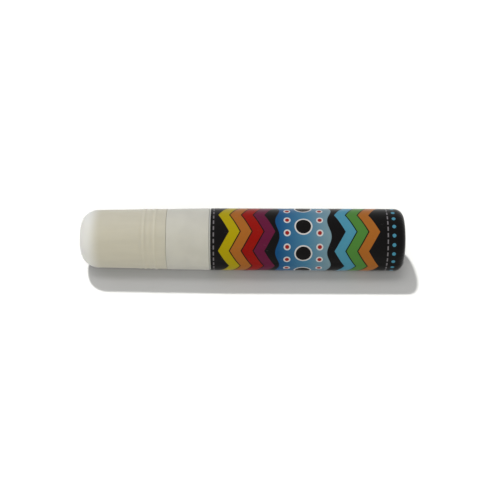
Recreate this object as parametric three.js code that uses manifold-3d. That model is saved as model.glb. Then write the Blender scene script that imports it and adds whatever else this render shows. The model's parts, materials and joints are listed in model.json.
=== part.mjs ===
// A broad-nib liquid chalk marker, lying on its side with its cap on. Millimetres, +Z up.
// Turned pieces are drawn as half sections: x is the radius, y the station, measured from the tail end.
// The finished marker lies along X with its tail towards +X and touches the ground at Z = 0.
import * as THREE from "three";
import { mergeVertices } from "three/addons/utils/BufferGeometryUtils.js";
import Module from "manifold-3d";

const wasm = await Module();
wasm.setup();

// Facets of the turned pieces and of their arcs
const facets = 40;
const smallFacets = 24;
const domeSteps = 3;
const filletSteps = 2;
const cornerSteps = 4;
const edgeSteps = 2;
const weldTolerance = 1e-4;

// Clearances
const seatGap = 0.15; // between pieces pressed or snapped together
const slideGap = 0.2; // round a piece that slides
const stopGap = 0.3; // between a moving piece and its stop
const seam = 0.2; // the fine line between two outer pieces
const filmGap = 0.1; // between the barrel and the film shrunk on it
const capGap = 0.3; // between the cap's bore and the spigot it pushes on
const mouthGap = 0.4; // between the spigot and the mouth of the inner cap

// Barrel: one moulded bottle, closed at the tail, with a narrow neck
const barrelLength = 93.2;
const barrelRadius = 14.65;
const barrelWall = 1.7;
const baseThickness = 2.2;
const tailFillet = 4.1;
const innerFillet = 2.2;
const shoulderWidth = 2.45;
const shoulderThickness = 2.5;
const neckLength = 11.4;
const neckWall = 1.7;
const footRadius = 9.6;
const footProud = 0.1;
const recessRadius = 6.5;
const recessDepth = 0.8;

// Printed film shrunk over the barrel and round its tail corner
const filmThickness = 0.25;
const filmMargin = 0.5;

// Snap beads that hold the collar on the neck, and the cap on the spigot
const beadWidth = 1.4;
const neckBeadHeight = 0.4;
const neckBeadStations = [3.2, 7.6];
const spigotBeadHeight = 0.2;
const spigotBeadStation = 6.5;

// Front collar
const collarLength = 20.2;
const collarProud = 0.3;
const spigotLength = 8;
const edgeChamfer = 0.3;
const draft = THREE.MathUtils.degToRad(1);

// Cap and the sealing cup inside it
const capLength = 41.8;
const capWall = 1.5;
const capStep = 0.04;
const capFillet = 8.4;
const innerCapWall = 1;
const lipLength = 1.5;
const ridgeStations = [5.3, 10.5];
const ridgeWidth = 1.2;
const ridgeHeight = 0.1;

// Nib: a felt block cut to a chisel
const nibWidth = 15;
const nibThickness = 8;
const nibLength = 34.6;
const nibBevelLength = 6;
const nibTipWidth = 2.6;
const nibEdge = 0.4;

// Nib holder: a turned body with a flat-sided snout
const holderWall = 1.4;
const holderFlange = 1.6;
const holderStand = 4.6;
const snoutWall = 1.5;
const snoutShoulder = 3;
const snoutLength = 5.5;
const snoutCorner = 2.4;
const snoutEdge = 0.6;
const slotCorner = 0.5;

// Valve: seat and skirt, stem, spring and cage
const gasketThickness = 0.8;
const valveFlange = 1.5;
const skirtLength = 6;
const skirtWall = 1.3;
const inkRing = 0.85;
const cageWall = 1.15;
const cageFloor = 1.3;
const cageLength = 9;
const cageHoleRadius = 2.2;
const windowCount = 4;
const windowWidth = 5;
const windowLength = 3;
const cupWall = 1.2;
const cupLength = 8.7;
const inkPassage = 0.9;
const seatWidth = 1.2;
const plugLength = 1.3;
const stemCore = 1.5;
const headRib = 1.3;
const headProud = 4.2;
const pilotLength = 7;
const cageOverlap = 3.6;
const springWire = 0.55;
const springInset = 0.35;
const springTurns = 6.5;
const springEndPitch = 1.05;
const springSteps = 8;
const springSides = 5;

// Mixing balls
const ballRadius = 3;
const ballStations = [10, 18];
const ballFacets = 16;

// Stations along the marker, from the tail
const filmSeat = filmGap + filmThickness + footProud;
const neckTop = barrelLength + neckLength;
const gasketStart = neckTop + seatGap;
const valveFlangeStart = gasketStart + gasketThickness + seatGap;
const valveFront = valveFlangeStart + valveFlange;
const holderStart = valveFront + seatGap;
const holderFlangeEnd = holderStart + holderFlange;
const collarSeat = holderFlangeEnd + seatGap;
const collarStart = barrelLength + seam;
const collarEnd = collarStart + collarLength;
const spigotEnd = collarEnd + spigotLength;
const capStart = collarEnd + seam;
const capEnd = capStart + capLength;
const innerCapStart = spigotEnd + mouthGap;
const headEnd = valveFront + headProud;
const nibStart = headEnd + stopGap;
const nibEnd = nibStart + nibLength;
const bodyEnd = spigotEnd + holderStand;
const snoutEnd = bodyEnd + snoutShoulder + snoutLength;
const cupEnd = valveFlangeStart - cupLength;
const cageEnd = cupEnd + cageOverlap;
const cageStart = cageEnd - cageLength;
const plugStart = valveFlangeStart - slideGap - plugLength;

// Radii, each from the piece that it fits
const cavityRadius = barrelRadius - barrelWall;
const neckRadius = barrelRadius - shoulderWidth;
const neckBore = neckRadius - neckWall;
const collarRadius = barrelRadius + collarProud;
const collarBore = neckRadius + seatGap;
const skirtRadius = neckBore - seatGap;
const skirtBore = skirtRadius - skirtWall;
const cageRadius = skirtBore - inkRing;
const cageBore = cageRadius - cageWall;
const cupRadius = cageBore - seatGap;
const cupBore = cupRadius - cupWall;
const plugRadius = cupBore - inkPassage;
const seatBore = plugRadius - seatWidth;
const headRadius = seatBore - slideGap;
const springRadius = plugRadius - springInset - springWire / 2;
const pilotRadius = springRadius * Math.cos(Math.PI / springSteps) - springWire / 2 - slideGap;
const chamberRadius = Math.hypot(nibWidth, nibThickness) / 2 + slideGap;
const holderRadius = chamberRadius + holderWall;
const holderBore = holderRadius + seatGap;
const filmRadius = barrelRadius + filmGap + filmThickness;

const quarter = Math.PI / 2;
const fullTurn = 2 * Math.PI;
const taper = Math.tan(draft);

// The collar and the cap share one slightly conical outline.
const collarRadiusAt = (station) => collarRadius - (station - collarStart) * taper;
const capRadiusAt = (station) => collarRadiusAt(station) - capStep;
const capBoreAt = (station) => capRadiusAt(station) - capWall;
const spigotRadiusAt = (station) => capBoreAt(station) - capGap;
const innerCapRadiusAt = (station) => capBoreAt(station) - seatGap;
const innerCapBoreAt = (station) => innerCapRadiusAt(station) - innerCapWall;

// Spins a half section round the Y axis, with a flat facet on each side of the axis.
function turned(section, sides = facets, steps = filletSteps) {
  const points = section.getPoints(steps);
  if (THREE.ShapeUtils.isClockWise(points)) points.reverse();
  return new THREE.LatheGeometry(points, sides, Math.PI / sides);
}

// Adds a low trapezium to a section that runs along the axis: a bead where height is positive, a groove in a bore.
function addBead(section, radiusAt, middle, height, direction, width = beadWidth) {
  const offsets = [-width / 2, -width / 4, width / 4, width / 2];
  const heights = [0, height, height, 0];
  offsets.forEach((offset, i) => {
    const station = middle + offset * direction;
    section.lineTo(radiusAt(station) + heights[i], station);
  });
}

// A plain round bar from one station to another.
function roundBar(radius, start, end, sides = smallFacets) {
  return turned(new THREE.Path().moveTo(0, start).lineTo(radius, start).lineTo(radius, end).lineTo(0, end), sides);
}

// A bar of rounded rectangular section that runs along the marker, with its end edges eased by edge.
function flatBar(width, height, corner, start, end, edge = 0) {
  const x = width / 2 - corner;
  const y = height / 2 - corner;
  const shape = new THREE.Shape()
    .absarc(x, y, corner, 0, quarter)
    .absarc(-x, y, corner, quarter, 2 * quarter)
    .absarc(-x, -y, corner, 2 * quarter, 3 * quarter)
    .absarc(x, -y, corner, 3 * quarter, fullTurn)
    .closePath();
  const bar = new THREE.ExtrudeGeometry(shape, {
    depth: end - start - 2 * edge,
    curveSegments: cornerSteps,
    bevelEnabled: edge > 0,
    bevelThickness: edge,
    bevelSize: edge,
    bevelOffset: -edge,
    bevelSegments: 1,
  });
  return bar.rotateX(-quarter).translate(0, start + edge, 0);
}

// A closed geometry as a solid that can be joined and cut.
function solidOf(geometry) {
  const loose = geometry.index ? geometry.toNonIndexed() : geometry;
  const bare = new THREE.BufferGeometry().setAttribute("position", loose.getAttribute("position"));
  const merged = mergeVertices(bare, weldTolerance);
  const mesh = new wasm.Mesh({
    numProp: 3,
    vertProperties: merged.getAttribute("position").array,
    triVerts: new Uint32Array(merged.index.array),
  });
  return new wasm.Manifold(mesh);
}

function geometryOf(solid) {
  const mesh = solid.getMesh();
  const geometry = new THREE.BufferGeometry()
    .setAttribute("position", new THREE.BufferAttribute(mesh.vertProperties, 3))
    .setIndex(new THREE.BufferAttribute(mesh.triVerts, 1));
  return geometry.toNonIndexed();
}

function barrel() {
  const filletCentre = barrelRadius - tailFillet;
  const innerCentre = cavityRadius - innerFillet;
  const section = new THREE.Path()
    .moveTo(0, recessDepth)
    .lineTo(recessRadius - recessDepth, recessDepth)
    .lineTo(recessRadius, 0)
    .lineTo(footRadius, 0)
    .lineTo(footRadius, filmSeat)
    .lineTo(filletCentre, filmSeat)
    .absarc(filletCentre, filmSeat + tailFillet, tailFillet, -quarter, 0)
    .lineTo(barrelRadius, barrelLength)
    .lineTo(neckRadius, barrelLength);
  for (const station of neckBeadStations) {
    addBead(section, () => neckRadius, barrelLength + station, neckBeadHeight, 1);
  }
  section
    .lineTo(neckRadius, neckTop - edgeChamfer)
    .lineTo(neckRadius - edgeChamfer, neckTop)
    .lineTo(neckBore, neckTop)
    .lineTo(neckBore, barrelLength)
    .lineTo(cavityRadius, barrelLength - shoulderThickness)
    .lineTo(cavityRadius, baseThickness + innerFillet)
    .absarc(innerCentre, baseThickness + innerFillet, innerFillet, 0, -quarter, true)
    .lineTo(0, baseThickness);
  return turned(section);
}

function labelSleeve() {
  const filletCentre = barrelRadius - tailFillet;
  const cornerStation = filmSeat + tailFillet;
  const innerCorner = tailFillet + filmGap;
  const outerCorner = innerCorner + filmThickness;
  const section = new THREE.Path()
    .moveTo(footRadius + filmGap, filmSeat - filmGap)
    .lineTo(filletCentre, filmSeat - filmGap)
    .absarc(filletCentre, cornerStation, innerCorner, -quarter, 0)
    .lineTo(filmRadius - filmThickness, barrelLength - filmMargin)
    .lineTo(filmRadius, barrelLength - filmMargin)
    .lineTo(filmRadius, cornerStation)
    .absarc(filletCentre, cornerStation, outerCorner, 0, -quarter, true)
    .lineTo(footRadius + filmGap, footProud)
    .closePath();
  return turned(section);
}

function frontCollar() {
  const section = new THREE.Path()
    .moveTo(collarBore, collarStart)
    .lineTo(collarRadius - edgeChamfer, collarStart)
    .lineTo(collarRadiusAt(collarStart + edgeChamfer), collarStart + edgeChamfer)
    .lineTo(collarRadiusAt(collarEnd - edgeChamfer), collarEnd - edgeChamfer)
    .lineTo(collarRadiusAt(collarEnd) - edgeChamfer, collarEnd)
    .lineTo(spigotRadiusAt(collarEnd), collarEnd);
  addBead(section, spigotRadiusAt, capStart + spigotBeadStation, spigotBeadHeight, 1);
  section
    .lineTo(spigotRadiusAt(spigotEnd) - edgeChamfer, spigotEnd)
    .lineTo(holderBore, spigotEnd)
    .lineTo(holderBore, collarSeat)
    .lineTo(collarBore, collarSeat);
  for (const station of neckBeadStations.toReversed()) {
    addBead(section, () => collarBore, barrelLength + station, neckBeadHeight, -1);
  }
  return turned(section.closePath());
}

function nibHolder() {
  const body = turned(
    new THREE.Path()
      .moveTo(0, holderStart)
      .lineTo(neckRadius, holderStart)
      .lineTo(neckRadius, holderFlangeEnd)
      .lineTo(holderRadius, holderFlangeEnd)
      .lineTo(holderRadius, bodyEnd)
      .lineTo(holderRadius - snoutWall, bodyEnd + snoutShoulder)
      .lineTo(0, bodyEnd + snoutShoulder),
  );
  const slotWidth = nibWidth + 2 * slideGap;
  const slotHeight = nibThickness + 2 * slideGap;
  const snoutWidth = slotWidth + 2 * snoutWall;
  const snoutHeight = slotHeight + 2 * snoutWall;
  const snout = flatBar(snoutWidth, snoutHeight, snoutCorner, bodyEnd, snoutEnd, snoutEdge);
  const slot = flatBar(slotWidth, slotHeight, slotCorner, holderStart, snoutEnd + snoutWall);
  const chamber = roundBar(chamberRadius, holderStart - snoutWall, nibStart + snoutWall, facets);
  return geometryOf(solidOf(body).add(solidOf(snout)).subtract(solidOf(slot)).subtract(solidOf(chamber)));
}

// The chisel is drawn from the side, and the felt is as wide as the extrusion is deep.
function nib() {
  const half = nibThickness / 2 - nibEdge;
  const start = nibStart + nibEdge;
  const end = nibEnd - nibEdge;
  const side = new THREE.Shape()
    .moveTo(-half, start)
    .lineTo(half, start)
    .lineTo(half, end - nibBevelLength)
    .lineTo(nibTipWidth - half, end)
    .lineTo(-half, end)
    .closePath();
  const block = new THREE.ExtrudeGeometry(side, {
    depth: nibWidth - 2 * nibEdge,
    bevelThickness: nibEdge,
    bevelSize: nibEdge,
    bevelSegments: edgeSteps,
  });
  return block.translate(0, 0, nibEdge - nibWidth / 2).rotateY(quarter);
}

function neckGasket() {
  const section = new THREE.Path()
    .moveTo(neckBore, gasketStart)
    .lineTo(neckRadius, gasketStart)
    .lineTo(neckRadius, gasketStart + gasketThickness)
    .lineTo(neckBore, gasketStart + gasketThickness)
    .closePath();
  return turned(section);
}

// A flanged plug: the outer skirt seals the neck, and the inner cup guides the stem behind its conical seat.
function valveBody() {
  const section = new THREE.Path()
    .moveTo(seatBore, valveFront)
    .lineTo(seatBore, valveFlangeStart + seatWidth)
    .lineTo(plugRadius, valveFlangeStart)
    .lineTo(cupBore, valveFlangeStart)
    .lineTo(cupBore, cupEnd)
    .lineTo(cupRadius, cupEnd)
    .lineTo(cupRadius, valveFlangeStart)
    .lineTo(skirtBore, valveFlangeStart)
    .lineTo(skirtBore, valveFlangeStart - skirtLength)
    .lineTo(skirtRadius - edgeChamfer, valveFlangeStart - skirtLength)
    .lineTo(skirtRadius, valveFlangeStart - skirtLength + edgeChamfer)
    .lineTo(skirtRadius, valveFlangeStart)
    .lineTo(neckRadius, valveFlangeStart)
    .lineTo(neckRadius, valveFront)
    .closePath();
  return turned(section);
}

// The head is a cross, so that ink runs past it through the seat; the pilot keeps the spring straight.
function valveStem() {
  const coneTip = plugStart + plugLength + seatWidth;
  const stem = turned(
    new THREE.Path()
      .moveTo(0, plugStart - pilotLength)
      .lineTo(pilotRadius - edgeChamfer, plugStart - pilotLength)
      .lineTo(pilotRadius, plugStart - pilotLength + edgeChamfer)
      .lineTo(pilotRadius, plugStart)
      .lineTo(plugRadius, plugStart)
      .lineTo(plugRadius, plugStart + plugLength)
      .lineTo(seatBore, coneTip)
      .lineTo(stemCore, coneTip)
      .lineTo(stemCore, headEnd)
      .lineTo(0, headEnd),
    smallFacets,
  );
  const bar = new THREE.BoxGeometry(2 * headRadius, headEnd - plugStart, headRib);
  bar.translate(0, (headEnd + plugStart) / 2, 0);
  const cross = solidOf(bar).add(solidOf(bar.clone().rotateY(quarter)));
  const head = cross.intersect(solidOf(roundBar(headRadius, plugStart, headEnd)));
  return geometryOf(solidOf(stem).add(head));
}

// The centre line of the valve spring. Its pitch is closer near both ends, as on a ground compression spring.
class SpringLine extends THREE.Curve {
  constructor(start, end) {
    super();
    this.start = start;
    this.rise = end - start;
  }
  getPoint(t, target = new THREE.Vector3()) {
    const even = springEndPitch * springTurns;
    const eased = t - Math.sin(fullTurn * t) / fullTurn;
    const angle = fullTurn * springTurns * t;
    const station = this.start + even * t + (this.rise - even) * eased;
    return target.set(springRadius * Math.cos(angle), station, springRadius * Math.sin(angle));
  }
}

function valveSpring() {
  const clear = seatGap + springWire;
  const line = new SpringLine(cageStart + cageFloor + clear, plugStart - clear);
  const wire = new THREE.Shape().absarc(0, 0, springWire / 2, 0, fullTurn);
  reportSpringGap(line);
  return new THREE.ExtrudeGeometry(wire, {
    steps: Math.round(springTurns * springSteps),
    curveSegments: springSides,
    extrudePath: line,
  });
}

// Prints the least gap between neighbouring turns, measured on points along the wire.
function reportSpringGap(line) {
  const perTurn = 36;
  const points = line.getPoints(springTurns * perTurn);
  const turnsApart = points.slice(perTurn).map((point, i) => point.distanceTo(points[i]));
  const least = Math.min(...turnsApart) - springWire;
  console.log("valve spring: least gap to itself " + least.toFixed(2) + " mm");
}

// The cage snaps over the cup and holds the spring; its windows let the ink in.
function valveCage() {
  const shell = turned(
    new THREE.Path()
      .moveTo(cageHoleRadius, cageStart)
      .lineTo(cageRadius - edgeChamfer, cageStart)
      .lineTo(cageRadius, cageStart + edgeChamfer)
      .lineTo(cageRadius, cageEnd)
      .lineTo(cageBore, cageEnd)
      .lineTo(cageBore, cageStart + cageFloor)
      .lineTo(cageHoleRadius, cageStart + cageFloor)
      .closePath(),
    smallFacets,
  );
  const start = cageStart + cageFloor + edgeChamfer;
  let cage = solidOf(shell);
  for (let i = 0; i < windowCount / 2; i++) {
    const window = new THREE.BoxGeometry(windowWidth, windowLength, 4 * cageRadius);
    window.translate(0, start + windowLength / 2, 0).rotateY((i * fullTurn) / windowCount);
    cage = cage.subtract(solidOf(window));
  }
  return geometryOf(cage);
}

function capShell() {
  const domeStation = capEnd - capFillet;
  const domeCentre = capRadiusAt(domeStation) - capFillet;
  const section = new THREE.Path()
    .moveTo(capBoreAt(capStart) + edgeChamfer, capStart)
    .lineTo(capRadiusAt(capStart) - edgeChamfer, capStart)
    .lineTo(capRadiusAt(capStart + edgeChamfer), capStart + edgeChamfer);
  for (const station of ridgeStations) {
    addBead(section, capRadiusAt, capStart + station, ridgeHeight, 1, ridgeWidth);
  }
  section
    .lineTo(capRadiusAt(domeStation), domeStation)
    .absarc(domeCentre, domeStation, capFillet, 0, quarter)
    .lineTo(0, capEnd)
    .lineTo(0, capEnd - capWall)
    .lineTo(domeCentre, capEnd - capWall)
    .absarc(domeCentre, domeStation, capFillet - capWall, quarter, 0, true);
  addBead(section, capBoreAt, capStart + spigotBeadStation, spigotBeadHeight, -1);
  section.lineTo(capBoreAt(capStart + edgeChamfer), capStart + edgeChamfer).closePath();
  return turned(section, facets, domeSteps);
}

// The sealing cup: its lip closes on the nib holder, so that the felt doesn't dry.
function innerCap() {
  const domeStation = capEnd - capFillet;
  const domeCentre = capRadiusAt(domeStation) - capFillet;
  const outerFillet = capFillet - capWall - seatGap;
  const lipBore = holderRadius + slideGap;
  const lipEnd = innerCapStart + lipLength;
  const section = new THREE.Path()
    .moveTo(lipBore, innerCapStart)
    .lineTo(innerCapRadiusAt(innerCapStart), innerCapStart)
    .lineTo(innerCapRadiusAt(domeStation), domeStation)
    .absarc(domeCentre, domeStation, outerFillet, 0, quarter)
    .lineTo(0, domeStation + outerFillet)
    .lineTo(0, domeStation + outerFillet - innerCapWall)
    .lineTo(domeCentre, domeStation + outerFillet - innerCapWall)
    .absarc(domeCentre, domeStation, outerFillet - innerCapWall, quarter, 0, true)
    .lineTo(innerCapBoreAt(lipEnd), lipEnd)
    .lineTo(lipBore, lipEnd)
    .closePath();
  return turned(section);
}

// Two balls lie side by side on the wall of the barrel.
function mixingBall(station, side) {
  const orbit = cavityRadius * Math.cos(Math.PI / facets) - ballRadius - stopGap;
  const across = ballRadius + stopGap / 2;
  const below = Math.sqrt(orbit * orbit - across * across);
  const ball = new THREE.SphereGeometry(ballRadius, ballFacets, ballFacets / 2);
  return ball.translate(side * across, station, -below);
}

const whitePlastic = { color: 0xcfcabb, roughness: 0.42, metalness: 0 };
const palePlastic = { color: 0xd6d5c8, roughness: 0.4, metalness: 0 };
const sealPlastic = { color: 0xdedbd0, roughness: 0.55, metalness: 0 };
const printedFilm = { color: 0x17161a, roughness: 0.3, metalness: 0 };
const felt = { color: 0xe9e7df, roughness: 0.95, metalness: 0 };
const softSeal = { color: 0x9b9a94, roughness: 0.8, metalness: 0 };
const steel = { color: 0xb9bcc0, roughness: 0.25, metalness: 1 };

const marker = new THREE.Group();

function addPiece(name, geometry, finish) {
  geometry.computeVertexNormals();
  const piece = new THREE.Mesh(geometry, new THREE.MeshStandardMaterial(finish));
  piece.name = name;
  marker.add(piece);
}

addPiece("barrel", barrel(), palePlastic);
addPiece("label_sleeve", labelSleeve(), printedFilm);
addPiece("front_collar", frontCollar(), palePlastic);
addPiece("nib_holder", nibHolder(), palePlastic);
addPiece("nib", nib(), felt);
addPiece("neck_gasket", neckGasket(), softSeal);
addPiece("valve_body", valveBody(), sealPlastic);
addPiece("valve_stem", valveStem(), sealPlastic);
addPiece("valve_spring", valveSpring(), steel);
addPiece("valve_cage", valveCage(), sealPlastic);
addPiece("cap_shell", capShell(), whitePlastic);
addPiece("inner_cap", innerCap(), sealPlastic);
ballStations.forEach((station, i) => {
  addPiece("mixing_ball_" + (i + 1), mixingBall(station, i ? 1 : -1), steel);
});

// Lay the marker down: the stations run towards -X, and the film's lowest facet rests on Z = 0.
marker.rotation.z = quarter;
marker.position.set(capEnd / 2, 0, filmRadius * Math.cos(Math.PI / facets));

export default new THREE.Group().add(marker);
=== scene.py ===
"""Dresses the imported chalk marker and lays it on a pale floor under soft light.

Blender 4.5, in metres, +Z up. The marker lies along X with its tail towards +X, and its axis runs at
AXIS_Z above the floor. Turned pieces are drawn as half sections: each point is (x, radius).
"""

import json
import math

import bpy
from mathutils import Matrix, Vector


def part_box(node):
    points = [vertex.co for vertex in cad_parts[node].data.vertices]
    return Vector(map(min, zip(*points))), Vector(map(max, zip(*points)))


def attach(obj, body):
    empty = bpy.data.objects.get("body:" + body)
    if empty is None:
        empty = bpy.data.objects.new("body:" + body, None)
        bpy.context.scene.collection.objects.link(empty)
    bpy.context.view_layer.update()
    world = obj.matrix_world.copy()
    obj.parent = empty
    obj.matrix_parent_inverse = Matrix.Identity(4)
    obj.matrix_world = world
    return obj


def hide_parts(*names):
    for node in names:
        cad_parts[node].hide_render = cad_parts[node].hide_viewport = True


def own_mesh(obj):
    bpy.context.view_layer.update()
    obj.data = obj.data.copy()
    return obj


bl_info = {
    "name": "Chalk marker",
    "version": (1, 0, 0),
    "blender": (4, 5, 0),
    "location": "3D View > Sidebar > Marker",
    "description": "Dresses a packed chalk marker and stages it on a pale floor",
    "category": "Object",
}

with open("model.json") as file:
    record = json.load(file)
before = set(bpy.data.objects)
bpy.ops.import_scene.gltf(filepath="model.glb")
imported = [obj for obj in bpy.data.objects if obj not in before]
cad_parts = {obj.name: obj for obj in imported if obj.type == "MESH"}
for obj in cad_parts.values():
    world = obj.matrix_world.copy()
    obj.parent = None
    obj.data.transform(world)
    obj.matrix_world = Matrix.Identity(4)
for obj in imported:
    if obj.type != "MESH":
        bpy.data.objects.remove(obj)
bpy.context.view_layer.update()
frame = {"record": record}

MM = 0.001
FULL_TURN = 2 * math.pi

# The CAD solids have 40 facets: FLAT is the radius of their flats over that of their edges
FLAT = math.cos(math.pi / 40)

# Roundings of moulded edges, from the finest to the broadest
HAIR = 0.05 * MM
CRISP = 0.1 * MM
FINE = 0.15 * MM
EASED = 0.2 * MM
SOFT = 0.3 * MM
FULL = 0.4 * MM
BLUNT = 0.5 * MM
BROAD = 0.8 * MM

# How finely the wire, the balls and the felt are made
WIRE_POINTS = 320
WIRE_SIDES = 12
BALL_STEPS = 40
BEVEL_STEPS = 4

# How far the felt's fibres are drawn out, and the height of noise above which they rise
FIBRE_DRAW = 0.45
FIBRE_LEVEL = 0.62

# Width of the camera's sensor in millimetres
SENSOR_WIDTH = 36

# How near points are joined, and the least corner that a rounded bar keeps
MERGE_DISTANCE = 0.001 * MM
LEAST_CORNER = 0.01 * MM


def span(node):
    """A node's lowest and highest x, and its radius over the flats."""
    low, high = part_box(node)
    return low.x, high.x, (high.z - low.z) / 2


def middle(node):
    """The centre of a node's box."""
    low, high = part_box(node)
    return (low + high) / 2


AXIS_Z = middle("barrel").z
TAIL_X = span("barrel")[1]
CAP_END_X = span("cap_shell")[0]


# Properties


def length(name, description, millimetres):
    return bpy.props.FloatProperty(
        name=name, description=description, default=millimetres * MM, unit="LENGTH", precision=5
    )


def lengths(name, description, *millimetres):
    return bpy.props.FloatVectorProperty(
        name=name,
        description=description,
        default=[value * MM for value in millimetres],
        size=len(millimetres),
        unit="LENGTH",
    )


def turn(name, description, degrees):
    return bpy.props.FloatProperty(
        name=name, description=description, default=math.radians(degrees), subtype="ANGLE", unit="ROTATION"
    )


def amount(name, description, value):
    return bpy.props.FloatProperty(name=name, description=description, default=value, min=0)


def count(name, description, value):
    return bpy.props.IntProperty(name=name, description=description, default=value, min=1)


def linear(value):
    """An 8-bit screen value as linear light."""
    value = value / 255
    return value / 12.92 if value <= 0.04045 else ((value + 0.055) / 1.055) ** 2.4


def paint(name, description, red, green, blue):
    return bpy.props.FloatVectorProperty(
        name=name,
        description=description,
        default=[linear(red), linear(green), linear(blue)],
        size=3,
        subtype="COLOR",
        min=0,
        max=1,
    )


class CapSizes(bpy.types.PropertyGroup):
    """Walls, fillets and fine rings of the cap and of the sealing cup inside it."""

    draft: turn("Draft", "Slope of the cap's and the collar's side", 1)
    wall: length("Wall", "Thickness of the shell", 1.5)
    fillet: length("Fillet", "Radius of the end's outer edge", 8.4)
    crown: length("Crown", "Height of the bulge of the end", 0.3)
    # The fade of the dome's white, which is partly a painted highlight
    dome_highlight_fade: lengths("Dome fade", "Where the dome's white begins and ends to fade, from the end", 4, 11)
    gate_radius: length("Gate radius", "Radius of the moulding gate's dimple", 1.2)
    gate_depth: length("Gate depth", "Depth of the moulding gate's dimple", 0.25)
    lip_round: length("Lip rounding", "Rounding of the mouth's edges", 0.2)
    ring_places: lengths("Ring places", "Distance of the fine rings from the mouth", 12.8, 10.5, 7.9, 5.3)
    ring_heights: lengths("Ring heights", "Height of each fine ring", 0.08, 0.22, 0.09, 0.22)
    ring_width: length("Ring width", "Width of each fine ring", 2)
    bead_place: length("Bead place", "Distance of the snap bead from the mouth", 6.5)
    bead_height: length("Bead height", "Height of the snap bead", 0.2)
    bead_width: length("Bead width", "Width of the snap bead", 1.4)
    seat_gap: length("Seat gap", "Gap between the shell and the sealing cup", 0.15)
    cup_wall: length("Cup wall", "Thickness of the sealing cup", 1)
    cup_lip: length("Cup lip", "Length of the sealing cup's lip", 1.5)
    slide_gap: length("Slide gap", "Gap between the lip and the nib holder", 0.2)


class BarrelSizes(bpy.types.PropertyGroup):
    """Walls and edges of the barrel, of its film and of the collar."""

    wall: length("Wall", "Thickness of the barrel", 1.7)
    base: length("Base", "Thickness of the tail wall", 2.2)
    tail_fillet: length("Tail fillet", "Radius of the tail's outer edge", 4.1)
    inner_fillet: length("Inner fillet", "Radius of the tail's inner corner", 2.2)
    shoulder_width: length("Shoulder width", "How far the shoulder steps in to the neck", 2.45)
    shoulder_thickness: length("Shoulder thickness", "Length of the sloping inner shoulder", 2.5)
    neck_wall: length("Neck wall", "Thickness of the neck", 1.7)
    neck_beads: lengths("Neck beads", "Distance of the snap beads from the shoulder", 3.2, 7.6)
    neck_bead_height: length("Neck bead height", "Height of the neck's snap beads", 0.4)
    foot_radius: length("Foot radius", "Outer radius of the ring it stands on", 9.6)
    foot_height: length("Foot height", "How far the ring stands out of the film", 0.1)
    recess_radius: length("Recess radius", "Radius of the hollow in the tail", 6.5)
    recess_depth: length("Recess depth", "Depth of the hollow in the tail", 0.8)
    recess_rim: length("Recess rim", "Rounding of the hollow's rim", 0.25)
    film: length("Film", "Thickness of the printed film", 0.25)
    film_gap: length("Film gap", "Gap under the film", 0.1)
    film_edges: lengths("Film edges", "Rounding of the film's inner edges and of its tail edge", 0.03, 0.08)
    edge: length("Edge", "Rounding of moulded edges", 0.2)
    seam: length("Seam", "Fine gap between the collar and its neighbours", 0.08)
    fit_gap: length("Fit gap", "Gap between pressed pieces", 0.15)
    cap_gap: length("Cap gap", "Gap between the spigot and the cap's bore", 0.3)


class TipSizes(bpy.types.PropertyGroup):
    """The nib and its holder."""

    bevel_length: length("Bevel length", "Length of the nib's slanted end", 6)
    tip_width: length("Tip width", "Thickness left at the nib's edge", 2.6)
    nib_round: length("Nib rounding", "Rounding of the nib's edges", 0.45)
    fibre_height: length("Fibre height", "Height of the felt's roughness", 0.09)
    fibre_size: length("Fibre size", "Grain of the felt", 0.5)
    voxel: length("Voxel", "Mesh size of the felt", 0.24)
    slide_gap: length("Slide gap", "Gap round the nib", 0.2)
    holder_wall: length("Holder wall", "Wall round the nib's corners", 1.4)
    flange: length("Flange", "Thickness of the holder's flange", 1.6)
    shoulder: length("Shoulder", "Length of the cone behind the snout", 3)
    snout: length("Snout", "Length of the snout before the cone", 5.5)
    snout_wall: length("Snout wall", "Thickness of the snout's wall", 1.5)
    snout_corner: length("Snout corner", "Radius of the snout's corners", 2.4)
    snout_edge: length("Snout edge", "Rounding of the snout's rim", 0.5)
    slot_corner: length("Slot corner", "Radius of the slot's corners", 0.5)


class ValveSizes(bpy.types.PropertyGroup):
    """The pump valve in the neck, and the mixing balls."""

    flange: length("Flange", "Thickness of the valve body's flange", 1.5)
    skirt_length: length("Skirt length", "Length of the sealing skirt", 6)
    skirt_wall: length("Skirt wall", "Thickness of the sealing skirt", 1.3)
    cup_radius: length("Cup radius", "Outer radius of the guide cup", 6.9)
    cup_wall: length("Cup wall", "Thickness of the guide cup", 1.2)
    plug_radius: length("Plug radius", "Radius of the stem's plug", 4.8)
    seat_radius: length("Seat radius", "Radius of the hole in the seat", 3.6)
    seat_height: length("Seat height", "Height of the conical seat", 1.2)
    plug_length: length("Plug length", "Length of the stem's plug", 1.3)
    pilot_length: length("Pilot length", "Length of the stem's pilot", 7)
    pilot_radius: length("Pilot radius", "Radius of the stem's pilot", 3.38)
    core_radius: length("Core radius", "Radius of the stem's core", 1.5)
    rib: length("Rib", "Thickness of the stem's ribs", 1.3)
    ribs: count("Ribs", "How many flat ribs cross on the stem's axis", 2)
    rib_gap: length("Rib gap", "Gap between the ribs and the seat's hole", 0.2)
    cage_wall: length("Cage wall", "Thickness of the cage", 1.15)
    cage_floor: length("Cage floor", "Thickness of the cage's floor", 1.3)
    cage_hole: length("Cage hole", "Radius of the hole in the cage's floor", 2.2)
    window_width: length("Window width", "Width of each window of the cage", 5)
    window_length: length("Window length", "Length of each window of the cage", 3)
    windows: count("Windows", "How many windows the cage has", 4)
    wire: length("Wire", "Diameter of the spring's wire", 0.55)
    turns: amount("Turns", "How many turns the spring has", 6.5)
    end_pitch: length("End pitch", "Pitch of the spring's closed ends", 1.05)


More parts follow.
